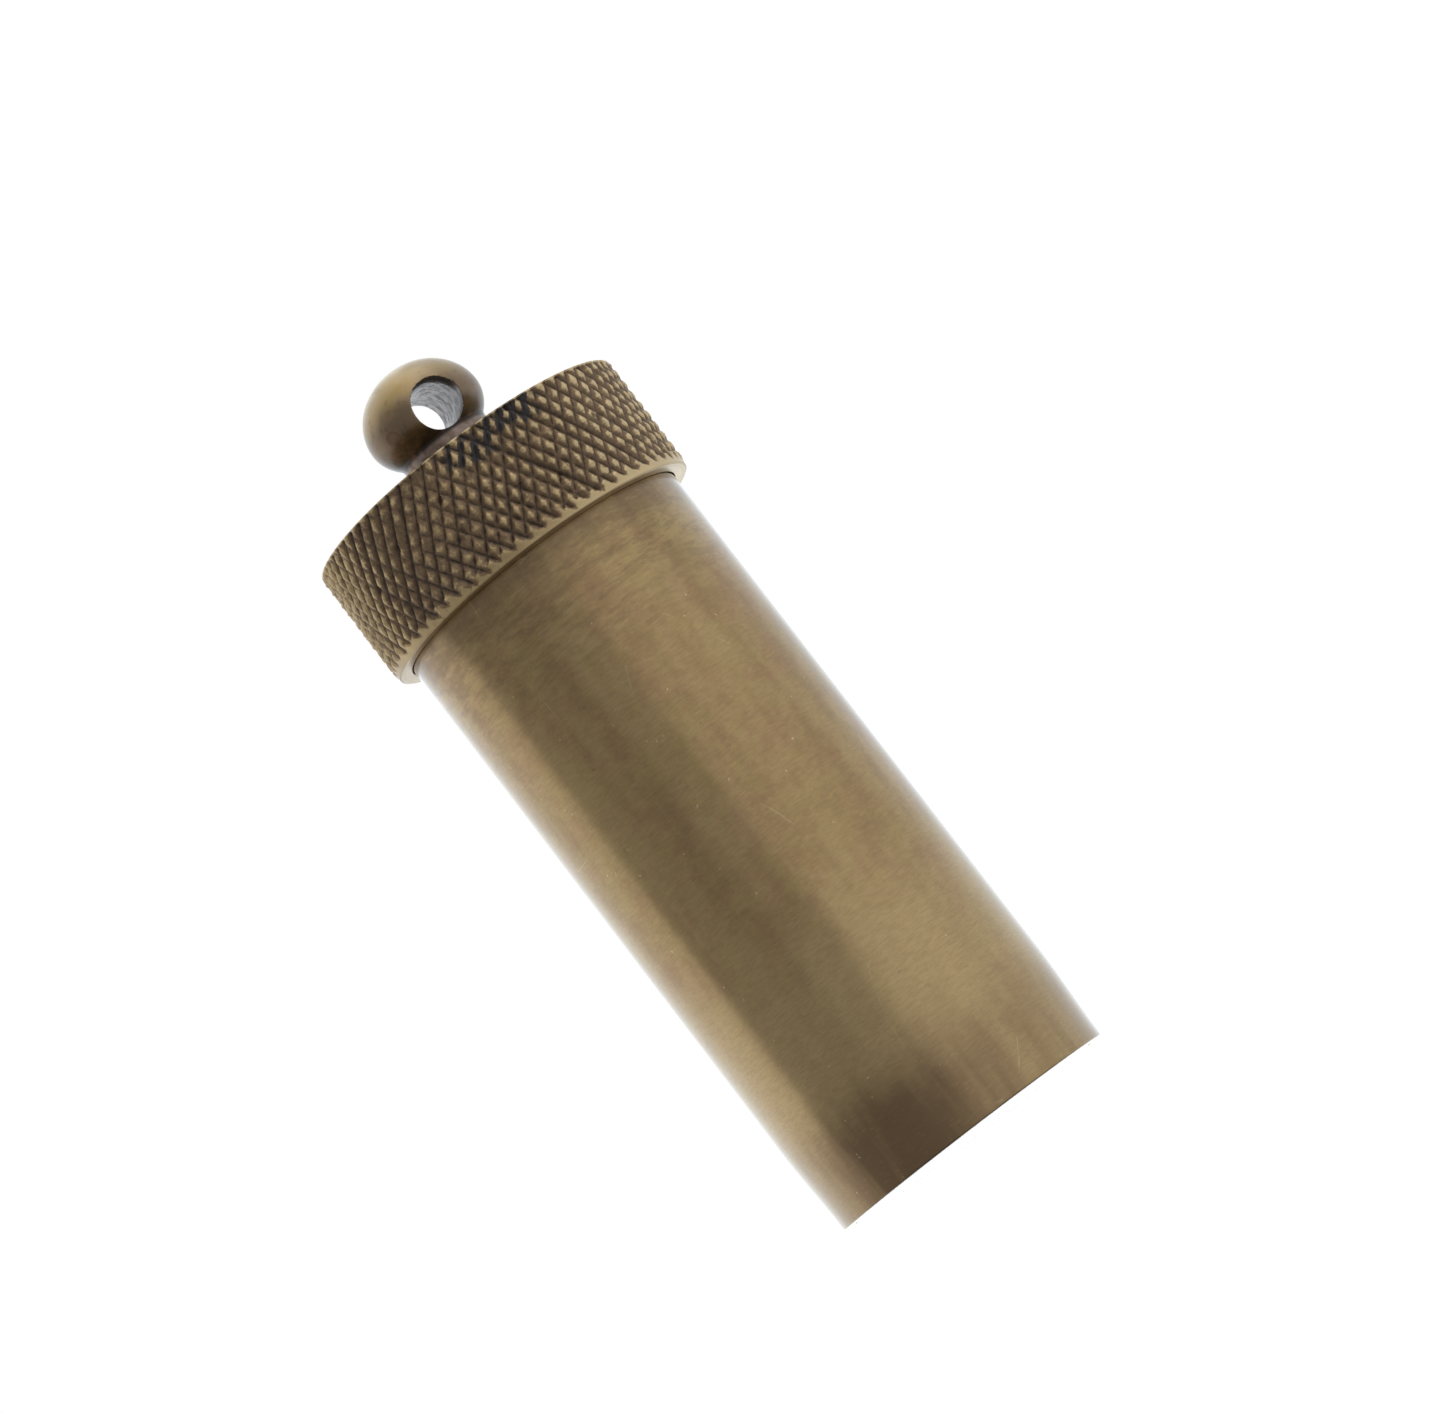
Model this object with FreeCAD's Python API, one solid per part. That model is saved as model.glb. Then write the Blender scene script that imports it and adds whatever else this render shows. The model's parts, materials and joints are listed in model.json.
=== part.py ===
import FreeCAD, Part
import os
from collections import namedtuple
from math import acos, cos, pi, radians, sin, tan

# Brass needle case: a tube with a flat base and a knurled screw cap that ends in a lanyard ball.
# Millimetres. +Z runs from the base to the ball, the origin is the middle of the base, and the
# ball's cross hole lies along Y. Each piece is one solid, written to parts/NODE.step.

# Case: a drawn tube, closed below by a disc and above by a threaded ring soldered in its mouth.
TUBE_R = 11.2
TUBE_WALL = 1.2
TUBE_BORE_R = TUBE_R - TUBE_WALL
TUBE_TOP = 49.2
TUBE_FOOT_ROUND = 0.35
EDGE_BREAK = 0.15
BASE_THICK = 1.6
PAD_R = 9.9
PAD_THICK = 2.5

# Threaded neck ring.
NECK_BORE_R = 9.0
NECK_SLEEVE_LOW = 43.2
NECK_FLANGE_R = 10.6
NECK_FLANGE_TOP = 49.45
NECK_UNDERCUT_TOP = 50.0
NECK_TOP = 54.4
NECK_LEAD = 0.2

# Screw cap: the knurl's crests are at CAP_R, and a plain lip runs below the knurl.
CAP_R = 12.5
CAP_LOW = 48.25
CAP_TOP = 57.16
CAP_PLATE_LOW = 55.6
CAP_TOP_EDGE_R = 12.4
CAP_TOP_EDGE_DROP = 0.3
CAP_LIP_R = 12.3
CAP_LIP_TOP = 49.15
CAP_LIP_ROUND = 0.2
CAP_MOUTH_R = 11.45
CAP_MOUTH_TOP = 49.6
CAP_LEAD_R = 10.9
CAP_LEAD_TOP = 50.2
CAP_RELIEF_R = 10.9
CAP_RELIEF_LOW = 54.1
CAP_RELIEF_LEAD = 0.5

# Sealing ring between the cap's plate and the neck ring's rim.
SEAL_R = 10.4
SEAL_BORE_R = 7.2

# Lanyard ball: a flattened ball on a short neck, screwed through the cap's plate. Its cross hole was
# drilled a little to +X of the middle, and rises towards +Y by the tilt in degrees.
BALL_R = 4.49
BALL_Z = 62.06
BALL_ABOVE = 3.94
BALL_BELOW = 3.29
BALL_NECK_R = 3.45
EYE_R = 1.85
EYE_X = 0.23
EYE_Z = 62.0
EYE_TILT = 5.0
STEM_R = 2.0
STEM_HOLE_R = 2.1
STEM_PROUD = 0.6

# Washer and hexagon nut that hold the ball's stem inside the cap.
WASHER_R = 4.5
WASHER_THICK = 0.5
NUT_FLATS = 7.0
NUT_HEIGHT = 2.2
NUT_CHAMFER = 0.2
NUT_TOP = CAP_PLATE_LOW - WASHER_THICK
STEM_LOW = NUT_TOP - NUT_HEIGHT - STEM_PROUD

# Screw threads: right hand, 60 degree flanks. The internal thread is larger by the two gaps. The
# cap's thread starts one turn below the undercut, and both of its halves start over +X.
HALF_FLANK = tan(radians(30))
Thread = namedtuple("Thread", "major_r root_r crest_w pitch gap_r gap_z")
CAP_THREAD = Thread(major_r=10.7, root_r=9.95, crest_w=0.25, pitch=1.25, gap_r=0.15, gap_z=0.08)
STEM_THREAD = Thread(major_r=1.95, root_r=1.52, crest_w=0.10, pitch=0.70, gap_r=0.10, gap_z=0.03)
RIDGE_START = NECK_UNDERCUT_TOP - CAP_THREAD.pitch
RIDGE_TURNS = 6
GROOVE_TURNS = 5
STEM_START = STEM_LOW - STEM_THREAD.pitch
STEM_TURNS = 7
RUN_OUT = 0.5
CHAMFER = 1
SQUARE_END = 0
THREAD_SINK = 0.05
THREAD_OVER = 0.3
SEGMENTS_PER_TURN = 4
FULL_TURN = 360

ORIGIN = FreeCAD.Vector(0, 0, 0)
UP = FreeCAD.Vector(0, 0, 1)


def at(r, z):
    """A point in the lathe's half plane."""
    return FreeCAD.Vector(r, 0, z)


def spin(edges):
    """The solid that a closed outline in the lathe's half plane sweeps about Z."""
    face = Part.Face(Part.Wire(edges))
    return face.revolve(ORIGIN, UP, FULL_TURN)


def lathe(outline):
    """A turned solid from (radius, height) points joined by straight lines."""
    points = [at(r, z) for r, z in outline]
    return spin(Part.makePolygon(points + points[:1]).Edges)


def ring(bore_r, outer_r, low, high):
    return lathe([(bore_r, low), (outer_r, low), (outer_r, high), (bore_r, high)])


def quarter_round(centre_r, centre_z, radius, start, end):
    """Points on a small round, from angle start to angle end in degrees."""
    steps = 4
    angles = [radians(start + (end - start) * i / steps) for i in range(steps + 1)]
    return [(centre_r + radius * cos(a), centre_z + radius * sin(a)) for a in angles]


def half_width(thread, r):
    """Half the ridge's axial width at radius r."""
    return thread.crest_w / 2 + (thread.major_r - r) * HALF_FLANK


def helical_rib(foot, crest, pitch, low, turns):
    """A right-hand helical rib from (radius, half width) of its foot and its crest.

    Its middle starts over +X at height low. Short segments of a turn keep every face simple.
    """
    outline = [at(r, w) for r, w in (foot, crest)] + [at(r, -w) for r, w in (crest, foot)]
    rise = pitch / SEGMENTS_PER_TURN
    path = Part.Wire(Part.makeHelix(pitch, rise, foot[0]).Edges)
    segment = path.makePipeShell([Part.makePolygon(outline + outline[:1])], True, True)
    segments = []
    for i in range(turns * SEGMENTS_PER_TURN):
        copy = segment.copy()
        copy.rotate(ORIGIN, UP, i * FULL_TURN / SEGMENTS_PER_TURN)
        copy.translate(UP * (low + i * rise))
        segments.append(copy)
    return segments[0].multiFuse(segments[1:])


def ridge(thread, low, turns, end_low, end_high, slope_low, slope_high):
    """An external thread's ridge, its foot sunk in the core.

    Cones cut its ends off: they leave the foot at heights end_low and end_high, and each rises or
    falls by its slope for every millimetre of radius.
    """
    foot_r = thread.root_r - THREAD_SINK
    rib = helical_rib((foot_r, half_width(thread, foot_r)), (thread.major_r, thread.crest_w / 2),
                      thread.pitch, low, turns)
    inner = foot_r - THREAD_OVER
    outer = thread.major_r + THREAD_OVER
    sunk_low = end_low - THREAD_OVER * slope_low
    sunk_high = end_high + THREAD_OVER * slope_high
    run = outer - inner
    envelope = lathe([(inner, sunk_low), (outer, sunk_low + run * slope_low),
                      (outer, sunk_high - run * slope_high), (inner, sunk_high)])
    return rib.common(envelope)


def groove(thread, low, turns):
    """The cutter of the matching internal thread, larger than the ridge by the running gaps."""
    foot_r = thread.root_r + thread.gap_r - THREAD_SINK
    crest_r = thread.major_r + thread.gap_r
    foot, crest = [(r, half_width(thread, r) + thread.gap_z) for r in (foot_r, crest_r)]
    return helical_rib(foot, crest, thread.pitch, low, turns)


def case_tube():
    foot = quarter_round(TUBE_R - TUBE_FOOT_ROUND, TUBE_FOOT_ROUND, TUBE_FOOT_ROUND, -90, 0)
    rim = [(TUBE_R, TUBE_TOP - EDGE_BREAK), (TUBE_R - EDGE_BREAK, TUBE_TOP), (TUBE_BORE_R, TUBE_TOP)]
    return lathe([(TUBE_BORE_R, 0)] + foot + rim)


def base_disc():
    return lathe([(0, 0), (TUBE_BORE_R - EDGE_BREAK, 0), (TUBE_BORE_R, EDGE_BREAK),
                  (TUBE_BORE_R, BASE_THICK), (0, BASE_THICK)])


def cork_pad():
    return lathe([(0, BASE_THICK), (PAD_R, BASE_THICK), (PAD_R, BASE_THICK + PAD_THICK),
                  (0, BASE_THICK + PAD_THICK)])


def neck_ring():
    root_r = CAP_THREAD.root_r
    core = lathe([
        (NECK_BORE_R, NECK_SLEEVE_LOW), (TUBE_BORE_R - NECK_LEAD, NECK_SLEEVE_LOW),
        (TUBE_BORE_R, NECK_SLEEVE_LOW + NECK_LEAD), (TUBE_BORE_R, TUBE_TOP),
        (NECK_FLANGE_R, TUBE_TOP), (NECK_FLANGE_R, NECK_FLANGE_TOP),
        (root_r, NECK_FLANGE_TOP), (root_r, NECK_TOP), (NECK_BORE_R + NECK_LEAD, NECK_TOP),
        (NECK_BORE_R, NECK_TOP - NECK_LEAD)])
    thread = ridge(CAP_THREAD, RIDGE_START, RIDGE_TURNS, NECK_UNDERCUT_TOP, NECK_TOP - NECK_LEAD,
                   RUN_OUT, CHAMFER)
    return core.fuse(thread)


def screw_cap():
    bore_r = CAP_THREAD.root_r + CAP_THREAD.gap_r
    lip = quarter_round(CAP_LIP_R - CAP_LIP_ROUND, CAP_LOW + CAP_LIP_ROUND, CAP_LIP_ROUND, -90, 0)
    body = lathe(
        [(CAP_MOUTH_R, CAP_LOW)] + lip +
        [(CAP_R, CAP_LIP_TOP), (CAP_R, CAP_TOP - CAP_TOP_EDGE_DROP), (CAP_TOP_EDGE_R, CAP_TOP),
         (STEM_HOLE_R, CAP_TOP), (STEM_HOLE_R, CAP_PLATE_LOW), (CAP_RELIEF_R, CAP_PLATE_LOW),
         (CAP_RELIEF_R, CAP_RELIEF_LOW), (bore_r, CAP_RELIEF_LOW - CAP_RELIEF_LEAD),
         (bore_r, CAP_LEAD_TOP), (CAP_LEAD_R, CAP_MOUTH_TOP), (CAP_MOUTH_R, CAP_MOUTH_TOP)])
    return body.cut(groove(CAP_THREAD, RIDGE_START, GROOVE_TURNS))


def seal_ring():
    return ring(SEAL_BORE_R, SEAL_R, NECK_TOP, CAP_PLATE_LOW)


def ball_arc(rise, start, end):
    """A quarter or less of the ball's outline; its upper and lower halves rise differently."""
    steps = 8
    angles = [start + (end - start) * i / steps for i in range(steps + 1)]
    curve = Part.BSplineCurve()
    curve.interpolate([at(BALL_R * cos(t), BALL_Z + rise * sin(t)) for t in angles])
    return curve.toShape()


def ball_finial():
    root_r = STEM_THREAD.root_r
    meet = acos(BALL_NECK_R / BALL_R)
    meet_z = BALL_Z - BALL_BELOW * sin(meet)
    corners = [(BALL_NECK_R, meet_z), (BALL_NECK_R, CAP_TOP), (STEM_R, CAP_TOP),
               (STEM_R, CAP_PLATE_LOW), (root_r, CAP_PLATE_LOW), (root_r, STEM_LOW), (0, STEM_LOW),
               (0, BALL_Z + BALL_ABOVE)]
    sides = Part.makePolygon([at(r, z) for r, z in corners]).Edges
    outline = sides + [ball_arc(BALL_ABOVE, 0, pi / 2), ball_arc(BALL_BELOW, -meet, 0)]
    body = spin(Part.sortEdges(outline)[0])
    along = FreeCAD.Vector(0, cos(radians(EYE_TILT)), sin(radians(EYE_TILT)))
    middle = FreeCAD.Vector(EYE_X, 0, EYE_Z)
    eye = Part.makeCylinder(EYE_R, 4 * BALL_R, middle - along * (2 * BALL_R), along)
    thread = ridge(STEM_THREAD, STEM_START, STEM_TURNS, STEM_LOW, CAP_PLATE_LOW + THREAD_OVER,
                   CHAMFER, SQUARE_END)
    return body.cut(eye).fuse(thread)


def finial_washer():
    return ring(STEM_HOLE_R, WASHER_R, NUT_TOP, CAP_PLATE_LOW)


def finial_nut():
    low = NUT_TOP - NUT_HEIGHT
    flat_r = NUT_FLATS / 2
    corner_r = flat_r / cos(pi / 6)
    corners = [FreeCAD.Vector(corner_r * cos(i * pi / 3), corner_r * sin(i * pi / 3), low)
               for i in range(7)]
    prism = Part.Face(Part.makePolygon(corners)).extrude(UP * NUT_HEIGHT)
    bore_r = STEM_THREAD.root_r + STEM_THREAD.gap_r
    mouth_r = STEM_THREAD.major_r + 2 * STEM_THREAD.gap_r
    lead = mouth_r - bore_r
    over_r = corner_r + NUT_CHAMFER
    turned = lathe([
        (bore_r, low + lead), (mouth_r, low), (flat_r, low), (over_r, low + 2 * NUT_CHAMFER),
        (over_r, NUT_TOP - 2 * NUT_CHAMFER), (flat_r, NUT_TOP), (mouth_r, NUT_TOP),
        (bore_r, NUT_TOP - lead)])
    return prism.common(turned).cut(groove(STEM_THREAD, STEM_START, STEM_TURNS))


PIECES = [case_tube, base_disc, cork_pad, neck_ring, screw_cap, seal_ring, ball_finial,
          finial_washer, finial_nut]

os.makedirs("parts", exist_ok=True)
for piece in PIECES:
    shape = piece()
    print(piece.__name__, shape.isValid(), len(shape.Solids), round(shape.Volume, 2))
    shape.exportStep("parts/" + piece.__name__ + ".step")
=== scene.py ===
import json
from collections import namedtuple
from math import cos, pi, radians, sin, tan

import bmesh
import bpy
import numpy as np
from mathutils import Matrix, Vector


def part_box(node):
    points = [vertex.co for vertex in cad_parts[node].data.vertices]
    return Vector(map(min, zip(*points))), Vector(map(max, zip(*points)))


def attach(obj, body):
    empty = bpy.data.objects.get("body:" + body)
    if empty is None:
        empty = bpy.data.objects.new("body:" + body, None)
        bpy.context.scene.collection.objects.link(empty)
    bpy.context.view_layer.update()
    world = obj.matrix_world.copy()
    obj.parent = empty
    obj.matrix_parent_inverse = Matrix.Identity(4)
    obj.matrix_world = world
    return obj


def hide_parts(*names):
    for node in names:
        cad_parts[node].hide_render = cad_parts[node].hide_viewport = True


# Brass needle case. Shapes are in millimetres, scaled to metres as each mesh is made. Positions come
# from the frame where a node's box gives them, and the remaining sizes repeat the CAD's by name.
MM = 0.001
TAU = 2 * pi
SEED = 7

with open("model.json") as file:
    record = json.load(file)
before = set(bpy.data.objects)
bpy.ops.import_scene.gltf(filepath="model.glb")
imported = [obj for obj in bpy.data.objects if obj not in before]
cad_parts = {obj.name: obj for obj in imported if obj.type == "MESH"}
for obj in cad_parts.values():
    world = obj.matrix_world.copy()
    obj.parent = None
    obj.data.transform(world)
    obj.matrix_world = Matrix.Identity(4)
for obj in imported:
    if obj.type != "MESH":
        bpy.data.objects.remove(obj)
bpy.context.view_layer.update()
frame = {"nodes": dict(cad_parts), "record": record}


def low_high(node):
    """A node's lowest and highest heights and its radius, in millimetres."""
    low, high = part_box(node)
    return low.z / MM, high.z / MM, high.x / MM


TUBE_LOW, TUBE_TOP, TUBE_R = low_high("case_tube")
CAP_LOW, CAP_TOP, CAP_R = low_high("screw_cap")
PAD_LOW, PAD_TOP, PAD_R = low_high("cork_pad")
SEAL_LOW, SEAL_TOP, SEAL_R = low_high("seal_ring")
STEM_LOW, BALL_TOP, BALL_R = low_high("ball_finial")
PLATE_LOW = low_high("finial_washer")[1]
EYE = next(mount for mount in frame["record"]["mounts"] if mount["name"] == "lanyard_eye")
EYE_AT = Vector(EYE["pos_m"]) / MM
EYE_ALONG = Vector(EYE["axis"]).normalized()
EYE_R = EYE["dims"]["r_mm"]

# Tube. Below FOOT_HEIGHT its wall draws in.
TUBE_BORE_R = 10.0
TUBE_FOOT_ROUND = 0.15
FOOT_DRAW = 0.24
FOOT_HEIGHT = 7.0
EDGE_BREAK = 0.15
WALL_ROWS = 60
WALL_END = 1.0

# Cap: its lip, its mouth and its threaded bore. The knurl's lowest ring and the lip's first one are
# a SEAM apart.
LIP_R = 12.3
LIP_TOP = 49.15
LIP_RISE = 0.7
LIP_ROUND = 0.2
MOUTH_R = 11.27
MOUTH_TOP = 49.6
MOUTH_EDGE = 0.08
LEAD_R = 10.9
LEAD_TOP = 50.2
BORE_R = 10.1
RELIEF_LOW = 54.1
RELIEF_LEAD = 0.5
BORE_ROWS = 64
STEM_HOLE_R = 2.1
TOP_EDGE_R = 12.4
TOP_EDGE_DROP = 0.3
TOP_RING_IN = 0.5
SEAM = 0.05

# The cap's internal thread and the stem's external one, right hand with 60 degree flanks.
HALF_FLANK = tan(radians(30))
CAP_PITCH = 1.25
CAP_THREAD_R = 10.85
CAP_THREAD_FLAT = 0.41
CAP_THREAD_START = 48.75
STEM_PITCH = 0.70
STEM_THREAD_R = 1.95
STEM_THREAD_FLAT = 0.10
STEM_THREAD_ROOT = 1.52
STEM_R = 2.0
STEM_ROWS = 60
STEM_AROUND = 96

# Diamond knurl: two sets of V grooves that lean opposite ways and run out above the lip. Each set has
# its count round the cap, its lean in grooves per millimetre of height, the height where it ends,
# its depth, half a groove's width as a share of the pitch, and how much of its depth it loses on
# its shallow side, most of all from SHALLOW_HIGH up.
KNURL_RISING = 72
KNURL_FALLING = 63
KNURL_LEAN = 0.556
KNURL_CELLS = 8
KNURL_LOW = 48.4
TOP_FADE = 0.1
TOP_FADED = 0.03
RUN_OUT = 0.42
GROOVE_SPREAD = 0.07
GROOVE_LATE = 0.07
Grooves = namedtuple("Grooves", "count lean end depth half_width shallow")
RISING = Grooves(KNURL_RISING, -KNURL_LEAN, 48.80, 0.29, 0.46, 0.0)
FALLING = Grooves(KNURL_FALLING, KNURL_LEAN, 48.46, 0.31, 0.46, 0.4)
SHALLOW_AZIMUTH = radians(-143)
SHALLOW_LOW = 50.2
SHALLOW_HIGH = 54.2
FULL_DEPTH = 0.33
WORN_CREST = 0.11
CHIPS = 55
CHIP_DEPTH = 0.13
CHIP_SIZES = (0.25, 0.45)
ROUGH_DEPTH = 0.008

# Lanyard ball. It is roughed out, with its neck up to BALL_JOIN, and then settled onto its true shape.
BALL_Z = 62.06
BALL_ABOVE = BALL_TOP - BALL_Z
BALL_BELOW = 3.29
BALL_NECK_R = 3.45
BALL_JOIN = 60.0
EYE_RIM_ROUND = 0.08
NECK_FILLET = 0.18
ROUGH_STEPS = 40
ROUGH_AROUND = 96
DRILL_AROUND = 64
BALL_GRID = 0.11
SETTLE_STEPS = 6

# Seal and cork pad.
SEAL_BORE_R = 7.2
SEAL_ROUND = 0.3
PAD_EDGE = 0.2
PAD_AROUND = 144
PAD_ROWS = 60
PITS = 70
PIT_DEPTH = 0.14
PIT_SIZES = (0.15, 0.55)

# Points round a turned piece, steps in a small round, the angle from which an edge is sharp, and how
# far from a wall a face's middle may lie and still belong to it.
AROUND = 360
ROUND_STEPS = 5
SHARP_ANGLE = radians(35)
SKIN = 0.01


def smooth(low, high, x):
    """A smooth step from 0 at low to 1 at high."""
    t = np.clip((x - low) / (high - low), 0, 1)
    return t * t * (3 - 2 * t)


# --- Meshes ---------------------------------------------------------------------------------


class Shell:
    """A closed surface, built from rings of points about Z."""

    def __init__(self):
        self.points = []
        self.faces = []

    def add(self, radius, angle, height):
        """Adds points and returns their numbers in order."""
        radius, angle, height = np.broadcast_arrays(*np.atleast_1d(radius, angle, height))
        first = len(self.points)
        self.points += list(zip(radius * np.cos(angle), radius * np.sin(angle), height))
        return list(range(first, len(self.points)))

    def ring(self, radius, height, count=AROUND):
        return self.add(radius, np.arange(count) * TAU / count, height)

    def strip(self, a, b):
        """Quads between two rings of as many points."""
        for i in range(len(a)):
            j = (i + 1) % len(a)
            self.faces.append((a[i], a[j], b[j], b[i]))

    def stack(self, rings):
        for a, b in zip(rings, rings[1:]):
            self.strip(a, b)

    def cap(self, ring, height):
        """Closes a ring with triangles about a point on the axis."""
        middle = self.add(0, 0, height)[0]
        for i in range(len(ring)):
            self.faces.append((ring[i], ring[(i + 1) % len(ring)], middle))

    def angle(self, number):
        x, y, _ = self.points[number]
        return np.arctan2(y, x) % TAU

    def zip(self, a, b):
        """Triangles between two rings that differ in their number of points."""
        a, b = [sorted(ring, key=self.angle) for ring in (a, b)]
        turns_a, turns_b = [[self.angle(n) for n in ring] + [self.angle(ring[0]) + TAU]
                            for ring in (a, b)]
        i = j = 0
        while i < len(a) or j < len(b):
            this_a, this_b = a[i % len(a)], b[j % len(b)]
            if j == len(b) or (i < len(a) and turns_a[i + 1] <= turns_b[j + 1]):
                i += 1
                self.faces.append((this_a, a[i % len(a)], this_b))
            else:
                j += 1
                self.faces.append((this_a, b[j % len(b)], this_b))

    def mesh(self, name):
        data = bpy.data.meshes.new(name)
        data.from_pydata((np.array(self.points) * MM).tolist(), [], self.faces)
        shape = bmesh.new()
        shape.from_mesh(data)
        bmesh.ops.recalc_face_normals(shape, faces=shape.faces)
        shape.to_mesh(data)
        shape.free()
        return data


def rounded(corners):
    """An outline of (radius, height, round) corners, each round drawn as a short arc."""
    outline = []
    for i, (r, z, size) in enumerate(corners):
        if not size:
            outline.append((r, z))
            continue
        here = Vector((r, z))
        before = (Vector(corners[i - 1][:2]) - here).normalized()
        after = (Vector(corners[(i + 1) % len(corners)][:2]) - here).normalized()
        half = before.angle(after) / 2
        centre = here + (before + after).normalized() * size / sin(half)
        start = here + before * size / tan(half) - centre
        end = here + after * size / tan(half) - centre
        for k in range(ROUND_STEPS + 1):
            arm = start.slerp(end, k / ROUND_STEPS).normalized() * size
            outline.append(tuple(centre + arm))
    return outline


def thread_radius(angle, height, start, pitch, crest, flat):
    """An internal or external thread's radius before it is limited to its root."""
    turns = (height - start) / pitch - angle / TAU
    off = np.abs(turns - np.round(turns)) * pitch
    return crest - np.maximum(off - flat / 2, 0) / HALF_FLANK


def show(name, data, body, slot, node, *materials):
    """Makes a mesh into a piece that rides a body and stands for a CAD node."""
    piece = bpy.data.objects.new(name, data)
    bpy.context.scene.collection.objects.link(piece)
    for material in materials:
        data.materials.append(material)
    data.polygons.foreach_set("use_smooth", [True] * len(data.polygons))
    data.set_sharp_from_angle(angle=SHARP_ANGLE)
    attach(piece, body)
    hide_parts(node)
    return piece


def second_inside(data, radius, top):
    """Gives a turned mesh's inner faces, those within radius and below top, its second material."""
    for face in data.polygons:
        x, y, z = face.center / MM
        if np.hypot(x, y) < radius and z < top:
            face.material_index = 1


def off_eye(points):
    """Distance of each point, in millimetres, from the line of the cross hole."""
    return np.linalg.norm(np.cross(points - np.array(EYE_AT), np.array(EYE_ALONG)), axis=1)


def second_in_hole(data):
    """Gives the faces of the cross hole's wall the second material."""
    centres = np.array([face.center for face in data.polygons]) / MM
    walls = off_eye(centres) < EYE_R + 2 * SKIN
    data.polygons.foreach_set("material_index", walls.astype(int))


def knurl_depth(angle, height):
    """How deep both sets of grooves cut the knurled cylinder, then the rising set on its own."""
    random = np.random.default_rng(SEED)
    top = 1 - 0.5 * smooth(CAP_TOP - TOP_FADE, CAP_TOP - TOP_FADED, height)
    weak = np.maximum(np.cos(angle - SHALLOW_AZIMUTH), 0) ** 4
    weak = weak * (0.25 + 0.75 * smooth(SHALLOW_LOW, SHALLOW_HIGH, height))
    cuts, bands = [], []
    for grooves in (RISING, FALLING):
        stroke = grooves.count * angle / TAU + grooves.lean * height
        nearest = np.round(stroke).astype(int)
        spread = random.normal(1, GROOVE_SPREAD, grooves.count)[nearest % grooves.count]
        late = random.normal(0, GROOVE_LATE, grooves.count)[nearest % grooves.count]
        left = np.clip((height - grooves.end - late) / RUN_OUT, 0, 1) * top
        v = left * spread - np.abs(stroke - nearest) / grooves.half_width
        cuts.append(np.maximum(grooves.depth * (1 - grooves.shallow * weak) * v, 0))
        bands.append(np.floor(stroke).astype(int) % grooves.count)
    cut = np.maximum(*cuts)
    worn = WORN_CREST * random.random((KNURL_RISING, KNURL_FALLING)) ** 2
    knurled = smooth(FALLING.end + RUN_OUT, FALLING.end + 2 * RUN_OUT, height) * top
    cut = np.maximum(cut, worn[bands[0], bands[1]] * knurled)
    for _ in range(CHIPS):
        at = random.uniform(0, TAU)
        up = random.uniform(FALLING.end + 0.5, CAP_TOP - 0.3)
        across = (angle - at + pi) % TAU - pi
        away = np.hypot(across * CAP_R, height - up) / random.uniform(*CHIP_SIZES)
        cut += CHIP_DEPTH * np.maximum(1 - away, 0)
    rough = ROUGH_DEPTH * random.normal(0, 1, cut.shape)
    return np.maximum(cut + np.where(cut > 0.01, rough, 0), 0), cuts[0]


def knurl_patch(shell):
    """The knurled band, on a lattice whose lines run along both sets of grooves.

    A lattice point (i, j) lies i steps across one set and j across the other. Returns the band's
    lower and upper border rings and the two depths at each of its points.
    """
    total = KNURL_RISING + KNURL_FALLING
    n = KNURL_CELLS
    numbers, keys = {}, []
    per_mm = KNURL_LEAN * n
    for s in range(total * n):
        middle = KNURL_RISING * s / total
        first = int(np.floor(middle - per_mm * CAP_TOP))
        last = int(np.ceil(middle - per_mm * KNURL_LOW))
        for i in range(first - 1, last + 2):
            numbers[i, s - i] = len(keys)
            keys.append((i, s - i))
    i, j = np.array(keys).T
    angle = (i + j) / (total * n) * TAU
    raw = (KNURL_RISING * j - KNURL_FALLING * i) / (total * per_mm)
    height = np.clip(raw, KNURL_LOW, CAP_TOP)
    cut, rising = knurl_depth(angle, height)
    lip = np.interp(height, (LIP_TOP - LIP_RISE, LIP_TOP), (LIP_R, CAP_R))
    edge = np.interp(height, (CAP_TOP - TOP_EDGE_DROP, CAP_TOP), (CAP_R, TOP_EDGE_R))
    radius = np.minimum(np.minimum(lip, edge), CAP_R - cut)

    def find(a, b):
        turns, s = divmod(a + b, total * n)
        return numbers.get((a - turns * KNURL_RISING * n, b - turns * KNURL_FALLING * n))

    inside = (raw > KNURL_LOW) & (raw < CAP_TOP)
    kept = []
    for a, b in keys:
        corners = [find(a, b), find(a + 1, b), find(a + 1, b + 1), find(a, b + 1)]
        if None not in corners and any(inside[c] for c in corners):
            kept.append(corners)
    used = sorted({c for face in kept for c in face})
    new = dict(zip(used, shell.add(radius[used], angle[used], height[used])))
    shell.faces += [tuple(new[c] for c in face) for face in kept]
    low = [new[c] for c in used if raw[c] <= KNURL_LOW]
    top = [new[c] for c in used if raw[c] >= CAP_TOP]
    return low, top, cut[used], rising[used]


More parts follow.
